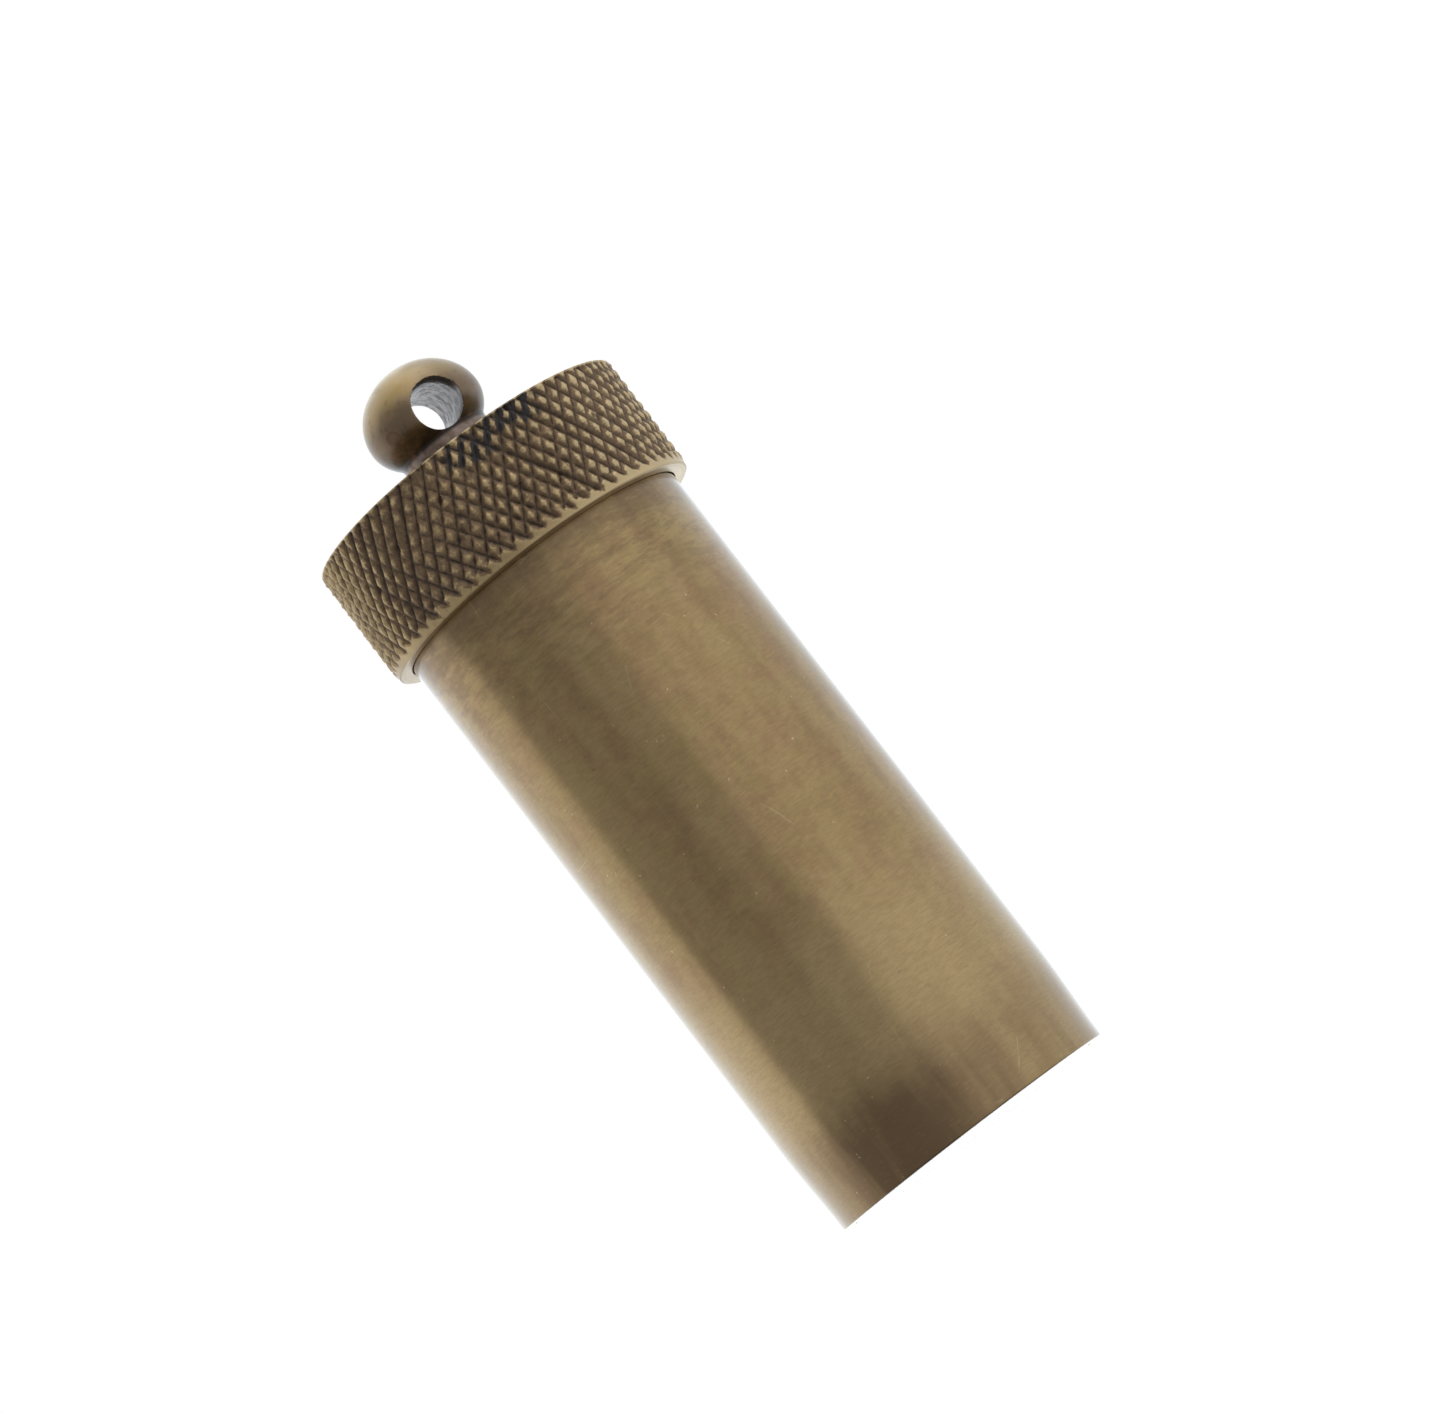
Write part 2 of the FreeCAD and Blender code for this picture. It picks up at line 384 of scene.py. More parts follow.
def cap_mesh():
    """The cap with its knurl, lip and threaded bore. The knurl's depths are kept for its material."""
    shell = Shell()
    low, top, cut, rising = knurl_patch(shell)
    outside = rounded([(LIP_R, KNURL_LOW, 0), (LIP_R, CAP_LOW, LIP_ROUND),
                       (MOUTH_R, CAP_LOW, MOUTH_EDGE), (MOUTH_R, MOUTH_TOP, 0)])
    outside[0] = (LIP_R - SEAM / 10, KNURL_LOW - SEAM)
    rings = [shell.ring(r, z) for r, z in outside]
    shell.zip(low, rings[0])
    turned_heights = (MOUTH_TOP, LEAD_TOP, RELIEF_LOW - RELIEF_LEAD, RELIEF_LOW)
    turned_radii = (LEAD_R, BORE_R, BORE_R, LEAD_R)
    angle = np.arange(AROUND) * TAU / AROUND
    for z in np.linspace(MOUTH_TOP, RELIEF_LOW, BORE_ROWS):
        bored = np.interp(z, turned_heights, turned_radii)
        cut_r = thread_radius(angle, z, CAP_THREAD_START, CAP_PITCH, CAP_THREAD_R, CAP_THREAD_FLAT)
        rings.append(shell.add(np.maximum(bored, cut_r), angle, z))
    rings += [shell.ring(r, z) for r, z in rounded([
        (LEAD_R, PLATE_LOW, 0.1), (STEM_HOLE_R, PLATE_LOW, 0), (STEM_HOLE_R, CAP_TOP, 0)])]
    rings.append(shell.ring(TOP_EDGE_R - TOP_RING_IN, CAP_TOP))
    shell.stack(rings)
    shell.zip(top, rings[-1])
    data = shell.mesh("screw_cap_knurled")
    for label, depth in (("hollow", cut), ("rising_groove", rising)):
        values = np.zeros(len(data.vertices), np.float32)
        values[:len(depth)] = depth / FULL_DEPTH
        data.attributes.new(label, "FLOAT", "POINT").data.foreach_set("value", values)
    return data


def lathe_mesh(name, outline, count=AROUND):
    """A closed turned mesh. An outline that starts and ends on the axis closes there."""
    shell = Shell()
    on_axis = outline[0][0] == 0
    turned = outline[1:-1] if on_axis else outline
    rings = [shell.ring(r, z, count) for r, z in turned]
    shell.stack(rings)
    if on_axis:
        shell.cap(rings[0], outline[0][1])
        shell.cap(rings[-1], outline[-1][1])
    else:
        shell.strip(rings[-1], rings[0])
    return shell.mesh(name)


def tube_mesh():
    """The plain tube, its bore and its drawn-in foot."""
    heights = np.linspace(TUBE_TOP - WALL_END, TUBE_LOW + WALL_END, WALL_ROWS)
    wall = [(TUBE_R - FOOT_DRAW * (1 - smooth(TUBE_LOW, FOOT_HEIGHT, z)), z, 0) for z in heights]
    return lathe_mesh("case_tube_turned", rounded(
        [(TUBE_BORE_R, TUBE_TOP, 0), (TUBE_R, TUBE_TOP, EDGE_BREAK)] + wall +
        [(TUBE_R - FOOT_DRAW, TUBE_LOW, TUBE_FOOT_ROUND), (TUBE_BORE_R, TUBE_LOW, 0)]))


def ball_distance(p):
    """Distance to the ball with its neck and its cross hole, negative inside."""
    x, y, z = p.T
    r = np.hypot(x, y)
    rise = np.where(z > BALL_Z, BALL_ABOVE, BALL_BELOW)
    up = z - BALL_Z
    size = np.sqrt((r / BALL_R) ** 2 + (up / rise) ** 2)
    slope = np.sqrt((r / BALL_R ** 2) ** 2 + (up / rise ** 2) ** 2) / np.maximum(size, 1e-6)
    ball = (size - 1) / np.maximum(slope, 1e-3)
    neck = np.maximum(np.maximum(r - BALL_NECK_R, z - BALL_Z), CAP_TOP - z)
    eye = EYE_R - off_eye(p)

    def blend(a, b, width):
        return np.maximum(width - np.abs(a - b), 0) ** 2 / (4 * width)

    joined = np.minimum(ball, neck) - blend(ball, neck, NECK_FILLET)
    return np.maximum(joined, eye) + blend(joined, eye, EYE_RIM_ROUND)


def ball_mesh():
    """The ball: a rough drilled shape, remeshed finely, then every point moved onto the true surface."""
    angles = np.linspace(-pi / 2, pi / 2, ROUGH_STEPS)
    ball = [(BALL_R * cos(t), BALL_Z + (BALL_ABOVE if t > 0 else BALL_BELOW) * sin(t)) for t in angles]
    upper = [(r, z) for r, z in ball[1:] if z > BALL_JOIN]
    body = [(0, CAP_TOP), (BALL_NECK_R, CAP_TOP)] + upper + [(0, BALL_TOP)]
    rough = bpy.data.objects.new("rough", lathe_mesh("rough", body, ROUGH_AROUND))
    reach = 2 * BALL_R
    drill = bpy.data.objects.new("drill", lathe_mesh(
        "drill", [(0, -reach), (EYE_R, -reach), (EYE_R, reach), (0, reach)], DRILL_AROUND))
    turn = Vector((0, 0, 1)).rotation_difference(EYE_ALONG).to_matrix().to_4x4()
    drill.matrix_world = Matrix.Translation(EYE_AT * MM) @ turn
    for thing in (rough, drill):
        bpy.context.scene.collection.objects.link(thing)
    bore = rough.modifiers.new("bore", "BOOLEAN")
    bore.operation = "DIFFERENCE"
    bore.object = drill
    remesh = rough.modifiers.new("remesh", "REMESH")
    remesh.mode = "VOXEL"
    remesh.voxel_size = BALL_GRID * MM
    bpy.context.view_layer.update()
    evaluated = rough.evaluated_get(bpy.context.evaluated_depsgraph_get())
    data = bpy.data.meshes.new_from_object(evaluated)
    for thing in (rough, drill):
        bpy.data.objects.remove(thing)
    p = np.array([v.co for v in data.vertices]) / MM
    step = 1e-3
    for _ in range(SETTLE_STEPS):
        d = ball_distance(p)
        slope = np.stack([(ball_distance(p + step * e) - ball_distance(p - step * e)) / (2 * step)
                          for e in np.eye(3)], axis=1)
        p -= slope * (d / np.maximum((slope ** 2).sum(1), 0.1))[:, None]
    data.vertices.foreach_set("co", (p * MM).ravel())
    data.update()
    return data


def stem_mesh():
    """The ball's stem, threaded below the cap's plate and plain through it."""
    shell = Shell()
    angle = np.arange(STEM_AROUND) * TAU / STEM_AROUND
    rings = []
    for z in np.linspace(STEM_LOW, PLATE_LOW, STEM_ROWS):
        lead = STEM_THREAD_ROOT + (z - STEM_LOW)
        cut = thread_radius(angle, z, STEM_LOW, STEM_PITCH, STEM_THREAD_R, STEM_THREAD_FLAT)
        rings.append(shell.add(np.clip(cut, STEM_THREAD_ROOT, max(lead, STEM_THREAD_ROOT)), angle, z))
    rings += [shell.ring(STEM_R, z, STEM_AROUND) for z in (PLATE_LOW, CAP_TOP)]
    shell.stack(rings)
    shell.cap(rings[0], STEM_LOW)
    shell.cap(rings[-1], CAP_TOP)
    return shell.mesh("finial_stem")


def seal_mesh():
    """The rubber ring, its four edges rounded."""
    corners = ((SEAL_BORE_R, SEAL_LOW), (SEAL_R, SEAL_LOW), (SEAL_R, SEAL_TOP), (SEAL_BORE_R, SEAL_TOP))
    return lathe_mesh("seal_rubber", rounded([(r, z, SEAL_ROUND) for r, z in corners]))


def pad_mesh():
    """The cork pad, its upper face uneven and pitted where grains have come out."""
    random = np.random.default_rng(SEED)
    shell = Shell()
    angle = np.arange(PAD_AROUND) * TAU / PAD_AROUND
    side = ((PAD_R - PAD_EDGE, PAD_LOW), (PAD_R, PAD_LOW + PAD_EDGE), (PAD_R, PAD_TOP - 0.5),
            (PAD_R - 0.08, PAD_TOP - 0.3))
    rings = [shell.ring(r, z, PAD_AROUND) for r, z in side]
    spots = random.uniform(-PAD_R, PAD_R, (PITS, 2))
    sizes = random.uniform(*PIT_SIZES, PITS)
    for r in np.linspace(PAD_R - 0.22, 0.2, PAD_ROWS):
        x, y = r * np.cos(angle), r * np.sin(angle)
        away = np.hypot(x[:, None] - spots[:, 0], y[:, None] - spots[:, 1]) / sizes
        sunk = PIT_DEPTH * np.maximum(1 - away ** 3, 0).max(axis=1)
        swell = 0.04 + 0.02 * np.sin(1.1 * x + 0.6) * np.sin(0.9 * y + 1.7)
        edge = 0.16 * smooth(PAD_R - 0.8, PAD_R, r)
        rings.append(shell.add(r, angle, PAD_TOP - swell - sunk - edge))
    shell.stack(rings)
    shell.cap(rings[0], PAD_LOW)
    shell.cap(rings[-1], PAD_TOP - 0.05)
    return shell.mesh("cork_disc")


# --- Materials ------------------------------------------------------------------------------


class Nodes:
    """Makes nodes in a tree and joins them up."""

    def __init__(self, tree):
        self.tree = tree

    def node(self, kind, sockets=None, **settings):
        """A new node. Each of its sockets gets a value or the output of another node."""
        node = self.tree.nodes.new("ShaderNode" + kind)
        for name, value in settings.items():
            setattr(node, name, value)
        for key, value in (sockets or {}).items():
            self.feed(node.inputs[key], value)
        return node

    def feed(self, socket, value):
        if isinstance(value, bpy.types.NodeSocket):
            self.tree.links.new(value, socket)
        else:
            socket.default_value = value

    def math(self, operation, a, b=0.0, clamp=False):
        node = self.node("Math", {0: a, 1: b}, operation=operation, use_clamp=clamp)
        return node.outputs[0]

    def fade(self, value, low, high, start=0.0, end=1.0, step="SMOOTHSTEP"):
        """A step of value from start at low to end at high, smooth if not asked otherwise."""
        node = self.node("MapRange", {"Value": value, "From Min": low, "From Max": high,
                                      "To Min": start, "To Max": end}, interpolation_type=step)
        return node.outputs["Result"]


class Shader(Nodes):
    """A material's nodes round its Principled shader. Texture scales are in cycles per millimetre."""

    def __init__(self, name, **settings):
        self.material = bpy.data.materials.new(name)
        self.material.use_nodes = True
        super().__init__(self.material.node_tree)
        self.surface = self.tree.nodes["Principled BSDF"]
        for socket, value in settings.items():
            self.surface.inputs[socket.replace("_", " ")].default_value = value
        self.place = self.node("TexCoord").outputs["Object"]

    def noise(self, around, along, detail=3.0, roughness=0.6, offset=0.0, distortion=0.0):
        """Soft noise that varies as often around the axis and along it as asked."""
        scaled = self.node("Mapping", {"Vector": self.place, "Location": (offset, offset, offset),
                                       "Scale": (around / MM, around / MM, along / MM)})
        node = self.node("TexNoise", {"Vector": scaled.outputs[0], "Scale": 1.0, "Detail": detail,
                                      "Roughness": roughness, "Distortion": distortion})
        return node.outputs["Fac"]

    def from_axis(self):
        """How far out from the case's axis."""
        flat = self.node("VectorMath", {0: self.place, 1: (1, 1, 0)}, operation="MULTIPLY").outputs[0]
        return self.node("VectorMath", {0: flat}, operation="LENGTH").outputs["Value"]

    def along(self, axis):
        """How far along X, Y or Z."""
        return self.node("SeparateXYZ", {0: self.place}).outputs[axis]

    def rings(self, count):
        """Noise that stays the same all the way round the axis, as a turning tool leaves it."""
        grid = self.node("CombineXYZ", {0: self.from_axis(), 1: self.along("Z")})
        node = self.node("TexNoise", {"Vector": grid.outputs[0], "Scale": count / MM, "Detail": 3.0,
                                      "Roughness": 0.7})
        return node.outputs["Fac"]

    def scratches(self, offset):
        """Thin curved lines, here and there."""
        away = self.math("ABSOLUTE", self.math("SUBTRACT", self.noise(0.09, 0.05, 0, 0.4, offset), 0.5))
        patches = self.fade(self.noise(0.3, 0.3, 3, 0.6, offset + 1.0), 0.54, 0.62)
        return self.math("MULTIPLY", self.fade(away, 0.003, 0.0005), patches)

    def near(self, azimuth, radius, height, reach, tall):
        """A spot on the surface: 1 at its middle, 0 at its reach; tall squeezes it in height."""
        squeeze = self.node("VectorMath", {0: self.place, 1: (1, 1, tall)}, operation="MULTIPLY")
        middle = Vector((radius * cos(azimuth), radius * sin(azimuth), height * tall)) * MM
        away = self.node("VectorMath", {0: squeeze.outputs[0], 1: middle}, operation="DISTANCE")
        return self.fade(away.outputs["Value"], reach * MM, 0.0)

    def mix(self, factor, a, b):
        """A colour between a and b. A Mix node's colours are its sockets 6 and 7."""
        node = self.node("Mix", {0: factor, 6: a, 7: b}, data_type="RGBA")
        return node.outputs[2]

    def paint(self, colour, roughness):
        self.feed(self.surface.inputs["Base Color"], colour)
        self.feed(self.surface.inputs["Roughness"], roughness)

    def bump(self, height, depth, normal=None):
        """Relief of that depth in millimetres, over what is already there."""
        sockets = {"Height": height, "Distance": depth * MM, "Strength": 1.0}
        if normal:
            sockets["Normal"] = normal
        node = self.node("Bump", sockets)
        self.feed(self.surface.inputs["Normal"], node.outputs[0])
        return node.outputs[0]


# Brass: the tube's patina, its stains and scratches, the painted shade under the cap with some patina,
# and metal that the air hasn't reached.
PATINA_OLIVE = (0.365, 0.255, 0.098, 1)
PATINA_RUSSET = (0.355, 0.224, 0.098, 1)
PATINA_MID = (0.375, 0.25, 0.11, 1)
PATINA_DARK = (0.19, 0.112, 0.048, 1)
PATINA_LIGHT = (0.50, 0.37, 0.175, 1)
SHADE_AND_SMEAR_BROWN = (0.15, 0.092, 0.042, 1)
SCRATCH_TAN = (0.66, 0.55, 0.34, 1)
FRESH_BRASS = (0.62, 0.44, 0.18, 1)

# The cap's crests, whose light colour also paints a highlight along its top edge, the flanks and floors
# of its grooves, and the grime in them.
CREST_LIGHT_AND_HIGHLIGHT = (0.70, 0.56, 0.33, 1)
CREST_TAN = (0.53, 0.395, 0.205, 1)
CREST_BROWN = (0.425, 0.31, 0.158, 1)
FLANK_BROWN = (0.205, 0.136, 0.076, 1)
GROOVE_BROWN = (0.085, 0.056, 0.037, 1)
GRIME = (0.045, 0.041, 0.038, 1)

# The ball with its painted shade, darker towards the bottom and nearly black just above its neck, its
# dark spots, its neck, and its cross hole, darker at the upper part of its front mouth.
BALL_TAN = (0.41, 0.305, 0.17, 1)
BALL_SHADE_BROWN = (0.20, 0.14, 0.085, 1)
BALL_SHADE_AND_SPOT_DARK = (0.02, 0.011, 0.007, 1)
RED_BROWN = (0.15, 0.07, 0.04, 1)
NECK_MAUVE = (0.26, 0.20, 0.17, 1)
NECK_BROWN = (0.13, 0.085, 0.06, 1)
BARE_DARK = (0.10, 0.094, 0.093, 1)
BARE_LIGHT = (0.48, 0.455, 0.455, 1)
MOUTH_DARK = (0.065, 0.046, 0.026, 1)

# Rubber, cork and floor.
RUBBER_BLACK = (0.02, 0.02, 0.021, 1)
RUBBER_DUST = (0.07, 0.065, 0.06, 1)
CORK_BROWN = (0.46, 0.27, 0.13, 1)
CORK_PALE = (0.68, 0.45, 0.25, 1)
CORK_FLECK = (0.2, 0.1, 0.05, 1)
CORK_GAP = (0.12, 0.06, 0.03, 1)
FLOOR_GREY = (0.80, 0.80, 0.79, 1)
FLOOR_PALE = (0.84, 0.84, 0.83, 1)

# The tube's stains, and the painted shade under the cap with some patina, as heights where each starts
# and where it is at its full strength.
BRIGHT_BAND = (21.0 * MM, 12.0 * MM)
FOOT_STAIN = (8.6 * MM, 3.6 * MM)
UNDER_CAP_SHADE_AND_PATINA = (44.2 * MM, 49.5 * MM)
SMEARED = (36.0 * MM, 45.0 * MM)
WANDER = 0.7 * MM

# The darkest stain round the foot, and a small dark ring on the ball.
STAIN_AZIMUTH = radians(-126)
STAIN_REACH = 12.0
BALL_RING_AZIMUTH = radians(-142)
BALL_RING_Z = 61.4

# Where hands have rubbed the cap, and a painted highlight along its left edge, as X where each starts
# and where it is at its full strength.
HANDLED_RIGHT = (-11.0 * MM, 12.0 * MM)
LEFT_EDGE_HIGHLIGHT = (-10.6 * MM, -12.5 * MM)
RUBBED = (-3.0 * MM, 8.0 * MM)

# Black grime in the knurl at the cap's top edge.
GRIME_AZIMUTH = radians(-91.5)
GRIME_HEIGHT = 56.3
GRIME_REACH = 5.6
GRIME_TALL = 2.9

BRUSH_DEPTH = 0.003


def brushed(shader, colour, rough):
    """Short lathe strokes round the axis in the colour, the gloss and the relief."""
    lines = shader.noise(1.1, 6, 6, 0.8, 0.0, 0.25)
    long_lines = shader.noise(0.12, 11, 2, 0.6, 6.0)
    nicks = shader.noise(1.1, 5, 2, 0.5, 3.0)
    dark = shader.fade(nicks, 0.27, 0.2)
    colour = shader.mix(shader.fade(lines, 0.42, 0.64, 0.0, 0.26), colour, PATINA_DARK)
    colour = shader.mix(shader.fade(lines, 0.46, 0.3, 0.0, 0.26), colour, PATINA_LIGHT)
    colour = shader.mix(shader.math("MULTIPLY", dark, 0.5), colour, GROOVE_BROWN)
    roughness = shader.math("ADD", rough, shader.fade(lines, 0.3, 0.7, -0.03, 0.05))
    shader.paint(colour, roughness)
    height = shader.math("ADD", lines, shader.math("MULTIPLY", long_lines, 0.3))
    height = shader.math("SUBTRACT", height, shader.math("MULTIPLY", dark, 0.5))
    shader.bump(height, BRUSH_DEPTH)


def aged(shader):
    """The case's patina: olive and russet clouds, lighter and darker streaks along the tube."""
    hue = shader.noise(0.4, 0.3, 5, 0.7, 1.0)
    streaks = shader.noise(0.45, 0.05, 2, 0.5)
    clouds = shader.noise(0.45, 0.5, 6, 0.75, 5.0)
    colour = shader.mix(shader.fade(hue, 0.38, 0.62), PATINA_OLIVE, PATINA_RUSSET)
    worn = shader.fade(shader.math("ADD", streaks, clouds), 0.9, 1.2)
    colour = shader.mix(shader.math("MULTIPLY", worn, 0.3), colour, PATINA_LIGHT)
    dull = shader.fade(shader.math("ADD", streaks, clouds), 1.0, 0.75)
    return shader.mix(shader.math("MULTIPLY", dull, 0.28), colour, PATINA_DARK)


def case_material():
    """Old turned brass, browned further towards its foot, with painted shade and some patina under the
    cap.
    """
    shader = Shader("aged_brass_tube", Metallic=1.0, Anisotropic=0.95, Anisotropic_Rotation=0.25,
                    Coat_Weight=0.7, Coat_Roughness=0.15, Coat_IOR=1.6)
    colour = aged(shader)
    columns = shader.noise(0.55, 0.07, 3, 0.55, 7.0)
    wander = shader.fade(shader.noise(0.4, 0.4, 4, 0.7, 9.0), 0.25, 0.75, -WANDER, WANDER)
    height = shader.math("ADD", shader.along("Z"), wander)
    colour = shader.mix(shader.fade(height, *BRIGHT_BAND, 0.0, 0.5), colour, PATINA_LIGHT)
    stain = shader.near(STAIN_AZIMUTH, TUBE_R, 0.0, STAIN_REACH, 0.8)
    core = shader.math("MULTIPLY", stain, shader.fade(columns, 0.3, 0.7, 0.6, 0.9))
    stained = shader.math("ADD", shader.fade(columns, 0.3, 0.7, 0.2, 0.5), core, clamp=True)
    foot = shader.math("MULTIPLY", shader.fade(height, *FOOT_STAIN), stained)
    colour = shader.mix(foot, colour, PATINA_DARK)
    # Painted shade under the cap, with some patina, uneven in columns.
    shade = shader.fade(columns, 0.36, 0.64, 0.6, 1.0)
    cap_shade_and_patina = shader.math("MULTIPLY", shader.fade(height, *UNDER_CAP_SHADE_AND_PATINA), shade)
    colour = shader.mix(cap_shade_and_patina, colour, SHADE_AND_SMEAR_BROWN)
    smears = shader.noise(0.35, 1.5, 5, 0.75, 14.0)
    upper = shader.fade(height, *SMEARED)
    for low, high, smear in ((0.46, 0.6, SHADE_AND_SMEAR_BROWN), (0.42, 0.3, PATINA_LIGHT)):
        smeared = shader.math("MULTIPLY", upper, shader.fade(smears, low, high, 0.0, 0.4))
        colour = shader.mix(smeared, colour, smear)
    colour = shader.mix(shader.math("MULTIPLY", shader.scratches(2.0), 0.3), colour, SCRATCH_TAN)
    specks = shader.fade(shader.noise(2.6, 2.6, 1, 0.5, 12.0), 0.77, 0.81)
    colour = shader.mix(shader.math("MULTIPLY", specks, 0.7), colour, SCRATCH_TAN)
    brushed(shader, colour, 0.2)
    return shader.material


def machined_material():
    """Brass that the air has hardly reached, still yellow, with the tool's lines."""
    shader = Shader("machined_brass", Metallic=1.0)
    clouds = shader.noise(0.3, 0.3, 4, 0.6, 9.0)
    colour = shader.mix(shader.fade(clouds, 0.35, 0.75, 0.0, 0.5), FRESH_BRASS, PATINA_MID)
    brushed(shader, colour, shader.fade(clouds, 0.2, 0.8, 0.26, 0.38))
    return shader.material


def cap_material():
    """Knurled brass: brown in the grooves, rubbed light on the crests and the lip, with painted
    highlights along its top edge and its left edge.
    """
    shader = Shader("aged_brass_knurl", Metallic=1.0, Coat_Weight=0.4, Coat_Roughness=0.3)
    hollow = shader.node("Attribute", attribute_name="hollow").outputs["Fac"]
    rising = shader.node("Attribute", attribute_name="rising_groove").outputs["Fac"]
    grain = shader.noise(2.2, 2.2, 4, 0.7)
    clouds = shader.noise(0.3, 0.3, 3, 0.6, 5.0)
    place = shader.node("SeparateXYZ", {0: shader.place}).outputs
    # Grooves lighter where hands have rubbed, and a painted highlight along the cap's left edge.
    handled_and_highlight = shader.math("MAXIMUM", shader.fade(place["X"], *HANDLED_RIGHT, 0.0, 0.2),
                          shader.fade(place["X"], *LEFT_EDGE_HIGHLIGHT, 0.0, 0.45))
    # A painted highlight along the cap's top edge, where the grooves' brown is taken out.
    top_edge_highlight = shader.fade(place["Z"], (CAP_TOP - 0.11) * MM, (CAP_TOP - 0.03) * MM)
    uneven = shader.math("ADD", hollow, shader.fade(grain, 0.25, 0.75, -0.22, 0.22))
    patina_less_wear_and_highlights = shader.math("SUBTRACT", uneven, handled_and_highlight)
    patina_less_wear_and_highlights = shader.math("SUBTRACT", patina_less_wear_and_highlights, top_edge_highlight)
    turned = shader.rings(5)
    colour = shader.mix(shader.fade(clouds, 0.35, 0.65), CREST_TAN, CREST_BROWN)
    rubbed = shader.fade(place["X"], *RUBBED, 0.0, 0.6)
    colour = shader.mix(rubbed, colour, CREST_LIGHT_AND_HIGHLIGHT)
    colour = shader.mix(shader.fade(turned, 0.5, 0.75, 0.0, 0.5), colour, FLANK_BROWN)
    colour = shader.mix(shader.fade(patina_less_wear_and_highlights, 0.02, 0.36), colour, FLANK_BROWN)
    colour = shader.mix(shader.fade(patina_less_wear_and_highlights, 0.4, 0.9), colour, GROOVE_BROWN)
    # A painted highlight in the crests' light colour on the outer rim of the top edge.
    high = shader.fade(place["Z"], (CAP_TOP - 0.12) * MM, (CAP_TOP - 0.04) * MM)
    outer = shader.fade(shader.from_axis(), (TOP_EDGE_R - 0.12) * MM, TOP_EDGE_R * MM, 0.0, 0.8)
    colour = shader.mix(shader.math("MULTIPLY", high, outer), colour, CREST_LIGHT_AND_HIGHLIGHT)
    dirt = shader.near(GRIME_AZIMUTH, CAP_R, GRIME_HEIGHT, GRIME_REACH, GRIME_TALL)
    filled = shader.math("MAXIMUM", rising, shader.math("MULTIPLY", hollow, 0.45))
    filled = shader.math("ADD", filled, shader.fade(grain, 0.3, 0.7, -0.12, 0.12))
    blots = shader.fade(shader.noise(0.5, 0.5, 2, 0.6, 4.0), 0.35, 0.6, 0.15, 1.6)
    dirt = shader.math("MULTIPLY", dirt, blots)
    dirt = shader.math("MULTIPLY", shader.fade(dirt, 0.0, 0.3), shader.fade(filled, 0.2, 0.36))
    dirt = shader.math("SUBTRACT", dirt, top_edge_highlight, clamp=True)
    colour = shader.mix(dirt, colour, GRIME)
    shader.paint(colour, shader.fade(uneven, 0.0, 0.8, 0.42, 0.6))
    shader.bump(turned, 0.006, shader.bump(grain, 0.012))
    return shader.material


def ball_material():
    """Handled brass with painted shade, darker towards its mauve-brown neck, with a ring-shaped stain.
    """
    shader = Shader("aged_brass_ball", Metallic=1.0, Coat_Weight=0.5, Coat_Roughness=0.2)
    clouds = shader.noise(0.35, 0.35, 4, 0.6, 2.0)
    spots = shader.noise(0.9, 0.9, 3, 0.6, 8.0)
    height = shader.along("Z")
    wandering = shader.math("ADD", height, shader.fade(clouds, 0.3, 0.7, -0.5 * MM, 0.5 * MM))
    colour = shader.mix(shader.fade(clouds, 0.35, 0.75), BALL_TAN, PATINA_OLIVE)
    # Painted shade: the ball darker towards its bottom.
    low = shader.fade(wandering, (BALL_Z + 2.3) * MM, (BALL_Z - 0.2) * MM)
    colour = shader.mix(low, colour, BALL_SHADE_BROWN)
    # Painted shade: nearly black under the ball, just above its neck.
    under_shade = shader.fade(wandering, (BALL_Z - 0.6) * MM, (BALL_Z - 2.2) * MM)
    colour = shader.mix(under_shade, colour, BALL_SHADE_AND_SPOT_DARK)
    reddened = shader.math("MULTIPLY", shader.fade(spots, 0.55, 0.68, 0.0, 0.5), low)
    colour = shader.mix(reddened, colour, RED_BROWN)
    colour = shader.mix(shader.fade(spots, 0.42, 0.3, 0.0, 0.25), colour, BALL_SHADE_AND_SPOT_DARK)
    neck = shader.fade(height, (BALL_Z - 2.3) * MM, (BALL_Z - 2.6) * MM)
    mauve = shader.mix(shader.fade(spots, 0.35, 0.65), NECK_BROWN, NECK_MAUVE)
    colour = shader.mix(neck, colour, mauve)
    ring = shader.near(BALL_RING_AZIMUTH, BALL_R, BALL_RING_Z, 0.8, 1.0)
    ring = shader.math("MULTIPLY", shader.fade(ring, 0.08, 0.22), shader.fade(ring, 0.5, 0.3, 0.25, 0.6))
    colour = shader.mix(ring, colour, RED_BROWN)
    shader.paint(colour, shader.fade(clouds, 0.2, 0.8, 0.34, 0.44))
    shader.bump(shader.noise(0.5, 7, 4, 0.6), 0.004)
    return shader.material


